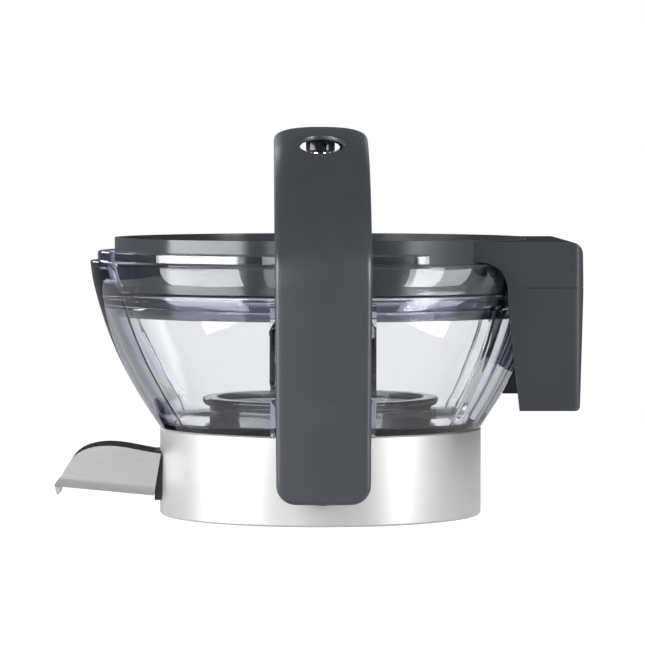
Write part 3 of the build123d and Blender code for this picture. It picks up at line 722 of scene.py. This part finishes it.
def arch_path():
    """Points (y, z, tilt) along the arch's outer face, from the front foot to the rear foot."""
    centre_z = ARM_TOP_Z - ARM_ARC_R
    joint_y = ARM_OUT_Y - ARM_SHOULDER_R
    shoulder_z = centre_z + math.sqrt((ARM_ARC_R - ARM_SHOULDER_R) ** 2 - joint_y ** 2)
    open_angle = math.atan2(joint_y, shoulder_z - centre_z)
    half = []
    count = int((shoulder_z - ARM_LOW.z) / ARM_STEP)
    for z in steps_between(ARM_LOW.z, shoulder_z, count):
        half.append((ARM_OUT_Y, z, 0.0))
    span = math.pi / 2 - open_angle
    count = int(span * ARM_SHOULDER_R / ARM_STEP)
    for tilt in steps_between(0, span, count)[1:]:
        half.append((joint_y + ARM_SHOULDER_R * math.cos(tilt),
                     shoulder_z + ARM_SHOULDER_R * math.sin(tilt), tilt))
    count = int(open_angle * ARM_ARC_R / ARM_STEP)
    for tilt in steps_between(span, math.pi / 2, count)[1:]:
        half.append((ARM_ARC_R * math.cos(tilt), centre_z + ARM_ARC_R * math.sin(tilt), tilt))
    front = [(-y, z, math.pi - tilt) for y, z, tilt in half]
    return front + list(reversed(half))[1:]


def arm_half_width(z, inset):
    """Half width of the strap at a height, with the foot's rounded corners."""
    share = (z - ARM_LOW.z) / (ARM_TOP_Z - ARM_LOW.z)
    half = ARM_FOOT_HALF + (ARM_TOP_HALF - ARM_FOOT_HALF) * share - inset
    up = z - (ARM_LOW.z + inset)
    corner = ARM_FOOT_CORNER - inset
    if up < corner:
        lack = corner - max(up, 0.0)
        half -= corner - math.sqrt(max(corner ** 2 - lack ** 2, 0.0))
    return half


def swept_strap(name, sections):
    """Closed skin over sections of (y, z, tilt, outline). An outline has (across, depth) points."""
    verts = []
    for y, z, tilt, outline in sections:
        out = (math.cos(tilt), math.sin(tilt))
        for across, depth in outline:
            verts.append((across, y - out[0] * depth, z - out[1] * depth))
    count = len(sections[0][3])
    faces = [tuple(range(count)), tuple(range(len(verts) - 1, len(verts) - count - 1, -1))]
    for i in range(len(sections) - 1):
        for j in range(count):
            k = (j + 1) % count
            faces.append((i * count + j, i * count + k, (i + 1) * count + k, (i + 1) * count + j))
    return object_from(name, verts, faces)


def strap_outline(half, edge_r, drop, depth, crowned):
    """Section of the solid strap: round edges on the legs, and a rounded back on the crown."""
    edge_r = min(edge_r, 0.9 * half)
    across = [math.sin(math.pi / 2 * i / 14) for i in range(-14, 15)]
    points = []
    for share in across:
        x = half * share
        over = max(abs(x) - (half - edge_r), 0.0)
        leg = edge_r - math.sqrt(max(edge_r ** 2 - over ** 2, 0.0)) + ARM_CROWN * share ** 2
        top = TOP_DROP * (1 - (1 - min(abs(share), 1.0) ** TOP_ROUNDNESS) ** (1 / TOP_ROUNDNESS))
        fall = drop + leg + (top - leg) * crowned
        points.append((x, min(fall, depth - 0.7 * MM)))
    return points + [(half, depth - ARM_LIP), (half - ARM_LIP, depth),
                     (-half + ARM_LIP, depth), (-half, depth - ARM_LIP)]


def crown_share(tilt):
    """0 on the legs, 1 on the crown."""
    up = math.sin(tilt)
    return ease((up - 0.35) / 0.6)


def arm_run(low, corner, steps):
    """The arch's path with closer steps round both feet."""
    foot = [low + corner * (1 - math.cos(math.pi / 2 * i / steps)) for i in range(1, steps)]
    body = [point for point in arch_path() if point[1] > ARM_LOW.z + ARM_FOOT_CORNER]
    front = [(-ARM_OUT_Y, z, math.pi) for z in foot]
    return front + body + [(ARM_OUT_Y, z, 0.0) for z in reversed(foot)]


def arm_blank():
    """The strap before it is hollowed."""
    sections = []
    for y, z, tilt in arm_run(ARM_LOW.z, ARM_FOOT_CORNER, 10):
        up = z - ARM_LOW.z
        drop = 0.0
        if up < ARM_EDGE_R:
            drop = ARM_EDGE_R - math.sqrt(max(ARM_EDGE_R ** 2 - (ARM_EDGE_R - up) ** 2, 0.0))
        half = arm_half_width(z, 0.0)
        section = strap_outline(half, ARM_EDGE_R, drop, ARM_DEPTH, crown_share(tilt))
        sections.append((y, z, tilt, section))
    return swept_strap("press_arm_shell", sections)


def arm_hollow():
    """What is taken out of the strap's inner side. Every section has the same number of points."""
    sections = []
    for y, z, tilt in arm_run(ARM_LOW.z + ARM_WALL, ARM_FOOT_CORNER - ARM_WALL, 8):
        half = arm_half_width(z, ARM_WALL)
        slope = CROWN_INSET * crown_share(tilt)
        plate = ARM_PLATE - CROWN_THINNING * crown_share(tilt)
        shoulder = ARM_PLATE + 0.9 * slope + 1 * MM
        past = ARM_DEPTH + 3 * MM
        corners = [(-half + slope, plate, 0.8 * MM), (half - slope, plate, 0.8 * MM),
                   (half, shoulder, 0), (half, past, 0), (-half, past, 0), (-half, shoulder, 0)]
        outline = rounded(corners, 0, 3)
        sections.append((y, z, tilt, outline))
    return swept_strap("arm_hollow", sections)


def arm_hub(low, high):
    """Bearing ring along Y at the pivot's height."""
    corners = [(HUB_BORE_R, low), (HUB_R, low), (HUB_R, high), (HUB_BORE_R, high)]
    made = lathe("hub", rounded(corners, 0.4 * MM, 3), full_turn(64))
    for vertex in made.data.vertices:
        x, y, along = vertex.co
        vertex.co = (x, along, y + PIVOT_Z)
    made.data.flip_normals()
    return made


def oval_cutter(s):
    """Oval rod that stands on the crown where the hole is, with slightly flared ends."""
    tilt = math.asin(ARM_HOLE_Y / ARM_ARC_R)
    out = Vector((0, s * math.sin(tilt), math.cos(tilt)))
    along = Vector((0, s * math.cos(tilt), -math.sin(tilt)))
    centre_z = ARM_TOP_Z - ARM_ARC_R
    centre = Vector((0, 0, centre_z)) + out * ARM_ARC_R
    verts = []
    count = 72
    levels = [(-15, 0.0), (-1.6, 0.0), (-0.5, 0.5), (0.2, 1.5), (4, 5.5)]
    for height, grow in [(height * MM, grow * MM) for height, grow in levels]:
        for a in full_turn(count):
            p = centre + out * height + Vector((1, 0, 0)) * (ARM_HOLE_HALF[0] + grow) * math.cos(a)
            verts.append(tuple(p + along * (ARM_HOLE_HALF[1] + grow) * math.sin(a)))
    faces = [tuple(range(count)), tuple(range(len(verts) - 1, len(verts) - count - 1, -1))]
    for level in range(len(levels) - 1):
        for i in range(count):
            k = (i + 1) % count
            a = level * count
            faces.append((a + i, a + k, a + count + k, a + count + i))
    return object_from("oval", verts, faces)


def make_press_arm():
    arm = arm_blank()
    combine(arm, arm_hollow(), "DIFFERENCE")
    for s in (-1, 1):
        low, high = sorted((s * (ARM_OUT_Y - ARM_PLATE + 0.5 * MM), s * HUB_IN_Y))
        combine(arm, arm_hub(low, high), "UNION")
        combine(arm, oval_cutter(s), "DIFFERENCE")
    tidy_mesh(arm)
    smooth(arm, 38.0)
    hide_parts("press_arm")
    dress(arm, "arm_plastic", "arm")


# ---- reamer --------------------------------------------------------------------------------
CONE_RIBS = 10
CONE_SHOULDER = 5.0 * MM
CONE_OGIVE = 0.62           # below 1 bulges out
CONE_CORE_R = 7.5 * MM
CONE_CORE_HEIGHT = 12 * MM
CONE_RIB_DEPTH = 0.20       # share of the radius
CONE_RIB_FADE = 0.12        # share of the height in which the ribs rise
CONE_BORE_R = 15 * MM
CONE_BORE_HEIGHT = 9 * MM
TIP_R = 0.02 * MM


def make_reamer():
    """Ogive with sharp ribs that fade at the tip, on a short skirt, hollow below."""
    radius = (CONE_HIGH - CONE_LOW).x / 2
    top = CONE_HIGH.z
    low = CONE_LOW.z
    rise_height = top - low - CONE_SHOULDER
    outer = [(radius - 0.5 * MM, low), (radius, low + 0.5 * MM), (radius, low + 3.0 * MM),
             (radius - 0.5 * MM, low + 3.5 * MM)]
    shares = [math.sin(math.pi / 2 * u) for u in steps_between(0.0, 1.0, 60)]
    rise = [(max(radius * (1 - t) ** CONE_OGIVE, TIP_R), low + CONE_SHOULDER + rise_height * t)
            for t in shares]
    core_z = low + CONE_CORE_HEIGHT
    bore_z = low + CONE_BORE_HEIGHT
    inside = [(TIP_R, core_z), (CONE_CORE_R - 0.5 * MM, core_z), (CONE_CORE_R, core_z - 0.5 * MM),
              (CONE_CORE_R, bore_z), (CONE_BORE_R, bore_z), (CONE_BORE_R, low)]

    def ribbed(r, z, angle):
        if z < low + CONE_SHOULDER or r < CONE_CORE_R + 0.1 * MM and z <= core_z:
            return r
        share = (z - low - CONE_SHOULDER) / rise_height
        ridge = abs(math.cos(angle * CONE_RIBS / 2)) ** 5
        twist = ease(share / CONE_RIB_FADE) * (1 - 0.55 * share)
        return r * (1 - CONE_RIB_DEPTH * twist * (1 - ridge))

    made = lathe("reamer_shell", outer + rise + inside, full_turn(ROUND_STEPS), ribbed, 50.0)
    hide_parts("reamer_cone")
    dress(made, "smoke_plastic", "cone")


# ---- collar and skirt ----------------------------------------------------------------------
# All in mm.
COLLAR_OUTLINE = [(45.5, 45.2), (53.6, 45.2), (53.6, 52.2), (56.0, 53.2), (57.0, 54.4),
                  (57.0, 55.9), (56.1, 56.8), (50.6, 56.8), (49.4, 55.6), (48.0, 49.4),
                  (45.5, 49.4)]
LUG_X = (52.6, 66.0)
LUG_HALF = 5.5
LUG_Z = (45.2, 51.0)
POCKET_X = (55.2, 64.4)
POCKET_HALF = 3.9
POCKET_Z = (47.0, 53.0)


def upright_box(name, x, half, z, corner):
    """Upright block with rounded corners. All in mm, and half is half its width along Y."""
    corners = [(x[0], -half), (x[1], -half), (x[1], half), (x[0], half)]
    outline = rounded([(a * MM, b * MM) for a, b in corners], corner * MM, 4)
    return prism(name, outline, z[0] * MM, z[1] * MM, "Z")


def make_collar():
    """Rolled rim over a plain wall, with one hollow lug beside it."""
    outline = rounded([(r * MM, z * MM) for r, z in COLLAR_OUTLINE], 0.7 * MM, 5)
    made = lathe("strainer_collar_shell", outline, full_turn(ROUND_STEPS))
    lug = upright_box("lug", LUG_X, LUG_HALF, LUG_Z, 0.8)
    combine(lug, upright_box("pocket", POCKET_X, POCKET_HALF, POCKET_Z, 0.6), "DIFFERENCE")
    combine(made, lug, "UNION")
    smooth(made, 38.0)
    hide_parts("strainer_collar")
    dress(made, "collar_plastic", "base")


SKIRT_IN_R = 95.6 * MM
SKIRT_LOW_R = 98.4 * MM
SKIRT_HIGH_R = 98.9 * MM


def make_skirt():
    low, high = size_of("rim_skirt")
    outline = [(SKIRT_IN_R, low.z), (SKIRT_LOW_R, low.z),
               (SKIRT_HIGH_R, high.z), (SKIRT_IN_R, high.z)]
    made = lathe("rim_skirt_band", rounded(outline, 0.6 * MM, 4), full_turn(ROUND_STEPS))
    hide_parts("rim_skirt")
    dress(made, "skirt_plastic", "base")


# ---- pieces that keep their CAD shape with eased edges --------------------------------------
SEAM_Z = 111.0 * MM
SEAM_HALF_HEIGHT = 0.16 * MM
SEAM_DEPTH = 0.35 * MM
SEAM_HALF_WIDTH = 69.65 * MM
SEAM_START_X = 93.5 * MM
SEAM_CORNER_R = 4.6 * MM
CAP_R = 2.1 * MM
CAP_GAP = 0.03 * MM         # over the pin's ends
CAP_SINK = 0.004 * MM       # below the trough's outer faces
SOFTENED = (("rim_ring", "rim_ring_shell", 0.7, "dark_plastic", "base"),
            ("base_ring", "base_ring_shell", 0.35, "base_silver", "base"),
            ("spout_trough", "spout_trough_sheet", 0.3, "spout_steel", "spout"),
            ("spout_bracket", "spout_bracket_block", 0.5, "black_plastic", "base"),
            ("arm_centre_boss", "arm_boss", 0.4, "dark_plastic", "arm"),
            ("pivot_boss_front", "pivot_boss_front_arm", 0.6, "black_plastic", "base"),
            ("pivot_boss_rear", "pivot_boss_rear_arm", 0.6, "black_plastic", "base"),
            ("bottom_plate", "bottom_plate_disc", 0.3, "black_plastic", "base"))
SLOTS = {row["node"]: row["material_slot"] for row in frame["record"]["subparts"]}


def handle_seam():
    """Thin frame round the handle that cuts its parting line."""
    low = SEAM_Z - SEAM_HALF_HEIGHT
    high = SEAM_Z + SEAM_HALF_HEIGHT
    half = SEAM_HALF_WIDTH
    out = half + 2 * MM
    far_x = RING_HIGH.x + 2 * MM
    near_x = RING_HIGH.x - SEAM_DEPTH
    outer = [(SEAM_START_X, -out), (far_x, -out), (far_x, out), (SEAM_START_X, out)]
    start_x = SEAM_START_X - 3.5 * MM
    inner = [(start_x, -half), (near_x, -half), (near_x, half), (start_x, half)]
    frame_cut = prism("seam", outer, low, high, "Z")
    core = prism("core", rounded(inner, SEAM_CORNER_R, 8), low - 1 * MM, high + 1 * MM, "Z")
    return combine(frame_cut, core, "DIFFERENCE")


def cap_hinge(trough):
    """Closes the trough's pin holes just below its outer faces."""
    low, high = size_of("spout_hinge_pin")
    outer = size_of("spout_trough")[1].y
    x = (low.x + high.x) / 2
    z = (low.z + high.z) / 2
    outline = [(x + CAP_R * math.cos(a), z + CAP_R * math.sin(a)) for a in full_turn(48)]
    for side in (-1, 1):
        near, far = sorted((side * (high.y + CAP_GAP), side * (outer - CAP_SINK)))
        combine(trough, prism("cap", outline, near, far), "UNION")
    even_shading(trough)


def make_softened():
    """CAD pieces whose shape is right and only need their edges eased, by a width in mm."""
    for node_name, piece, width, material, body in SOFTENED:
        made = softened(node_name, piece, width * MM)
        if node_name == "rim_ring":
            combine(made, handle_seam(), "DIFFERENCE")
            even_shading(made)
        if node_name == "spout_trough":
            cap_hinge(made)
        dress(made, material, body)


# ---- carried-over CAD nodes ----------------------------------------------------------------
def dress_cad_nodes():
    for name, made in frame["nodes"].items():
        material = MATERIALS[SLOTS[name]]
        if not made.material_slots:
            made.data.materials.append(material)
        for place in made.material_slots:
            place.link = "OBJECT"
            place.material = material


# ---- stage ---------------------------------------------------------------------------------
FLOOR_HALF = 0.6
FLOOR_GAP = 0.2 * MM
FLOOR_GLOW = 0.9            # as the camera sees it
FLOOR_BOUNCE = 0.42         # as the object sees it


def make_floor():
    material, tree, shader = new_material("floor_white")
    soft = noise_of(tree, object_coords(tree), 3.0, 2.0)
    pale = ramp_of(tree, soft, [(0.3, grey(0.28)), (0.7, grey(0.30))])
    tree.links.new(pale, shader.inputs["Base Color"])
    shader.inputs["Roughness"].default_value = 0.9
    shader.inputs["Specular IOR Level"].default_value = 0.1
    shader.inputs["Emission Color"].default_value = (1.0, 1.0, 1.0, 1.0)
    ray = tree.nodes.new("ShaderNodeLightPath")
    glow = range_of(tree, ray.outputs["Is Camera Ray"], FLOOR_BOUNCE, FLOOR_GLOW, (0.0, 1.0))
    tree.links.new(glow, shader.inputs["Emission Strength"])
    half = FLOOR_HALF
    corners = [(-half, -half, 0), (half, -half, 0), (half, half, 0), (-half, half, 0)]
    floor = object_from("floor", corners, [(0, 1, 2, 3)])
    floor.location.z = min(BASE_LOW.z, 0.0) - FLOOR_GAP
    floor.data.materials.append(material)


# Azimuth from the front and spread in degrees, brightness, lower and upper edge in metres.
SOFT_BOXES = (("box_left", -66, 48, 9.5, 0.02, 0.95),
              ("box_right", 56, 15, 12.5, 0.02, 0.95),
              ("box_right_far", 69, 10, 1.0, 0.02, 0.60),
              ("box_right_high", 63, 36, 8.0, 0.35, 0.95),
              ("box_fill", -20, 18, 3.0, 0.02, 0.95),
              ("box_rear_left", -157, 8, 2.8, 0.24, 0.95),
              ("box_rear_right", 162, 4, 1.5, 0.02, 0.60))
BOX_DISTANCE = 1.2
ROOM_DIM = (0.072, 0.078, 0.098)
ROOM_CEILING = (0.045, 0.045, 0.05)
ROOM_BACKDROP = (0.15, 0.155, 0.17)
# What shows through the clear plastic, by the direction's Y part: white only behind it.
WHITE_SCREEN = ((0.90, (0.015, 0.02, 0.04)), (0.970, (0.12, 0.13, 0.18)),
                (0.986, (0.58, 0.60, 0.67)), (0.994, (1.0, 1.0, 1.0)))


def area_light(name, place, aim, width, height, power):
    data = bpy.data.lights.new(name, "AREA")
    data.shape = "RECTANGLE"
    data.size = width
    data.size_y = height
    data.energy = power
    light = bpy.data.objects.new(name, data)
    light.location = place
    light.rotation_euler = (Vector(aim) - Vector(place)).to_track_quat("-Z", "Y").to_euler()
    bpy.context.collection.objects.link(light)
    light.visible_camera = False


def soft_box(name, azimuth, spread, radiance, low, high):
    """Upright soft box that faces the object. Positive azimuths are to the right."""
    a = math.radians(azimuth)
    width = 2 * BOX_DISTANCE * math.tan(math.radians(spread / 2))
    place = (BOX_DISTANCE * math.sin(a), -BOX_DISTANCE * math.cos(a), (low + high) / 2)
    aim = (0.0, 0.0, (low + high) / 2)
    area_light(name, place, aim, width, high - low, radiance * math.pi * width * (high - low))


def make_light():
    """A dim room, a white screen behind, and upright soft boxes at both sides."""
    world = bpy.data.worlds.new("studio")
    bpy.context.scene.world = world
    world.use_nodes = True
    tree = world.node_tree
    tree.nodes.clear()
    coords = tree.nodes.new("ShaderNodeTexCoord")
    split = tree.nodes.new("ShaderNodeSeparateXYZ")
    tree.links.new(coords.outputs["Generated"], split.inputs[0])
    behind = ramp_of(tree, split.outputs["Y"], [(0.60, grey(0.0)), (0.95, grey(1.0))])
    above = ramp_of(tree, split.outputs["Z"], [(0.45, grey(0.0)), (0.85, grey(1.0))])
    walls = tree.nodes.new("ShaderNodeMix")
    walls.data_type = "RGBA"
    walls.inputs["A"].default_value = (*ROOM_DIM, 1.0)
    walls.inputs["B"].default_value = (*ROOM_CEILING, 1.0)
    tree.links.new(above, walls.inputs["Factor"])
    room = tree.nodes.new("ShaderNodeMix")
    room.data_type = "RGBA"
    room.inputs["B"].default_value = (*ROOM_BACKDROP, 1.0)
    tree.links.new(behind, room.inputs["Factor"])
    tree.links.new(walls.outputs["Result"], room.inputs["A"])
    around = tree.nodes.new("ShaderNodeBackground")
    tree.links.new(room.outputs["Result"], around.inputs["Color"])
    screen = tree.nodes.new("ShaderNodeBackground")
    tree.links.new(ramp_of(tree, split.outputs["Y"], WHITE_SCREEN), screen.inputs["Color"])
    plain = tree.nodes.new("ShaderNodeBackground")
    plain.inputs["Color"].default_value = (1.0, 1.0, 1.0, 1.0)
    ray = tree.nodes.new("ShaderNodeLightPath")
    seen_through = tree.nodes.new("ShaderNodeMixShader")
    tree.links.new(ray.outputs["Is Transmission Ray"], seen_through.inputs[0])
    tree.links.new(around.outputs[0], seen_through.inputs[1])
    tree.links.new(screen.outputs[0], seen_through.inputs[2])
    for_camera = tree.nodes.new("ShaderNodeMixShader")
    tree.links.new(ray.outputs["Is Camera Ray"], for_camera.inputs[0])
    tree.links.new(seen_through.outputs[0], for_camera.inputs[1])
    tree.links.new(plain.outputs[0], for_camera.inputs[2])
    output = tree.nodes.new("ShaderNodeOutputWorld")
    tree.links.new(for_camera.outputs[0], output.inputs["Surface"])
    for box in SOFT_BOXES:
        soft_box(*box)
    bpy.context.scene.view_settings.view_transform = "Standard"


make_camera()
MATERIALS = make_materials()
dress_cad_nodes()
make_bowl()
make_press_arm()
make_reamer()
make_collar()
make_skirt()
make_softened()
make_floor()
make_light()
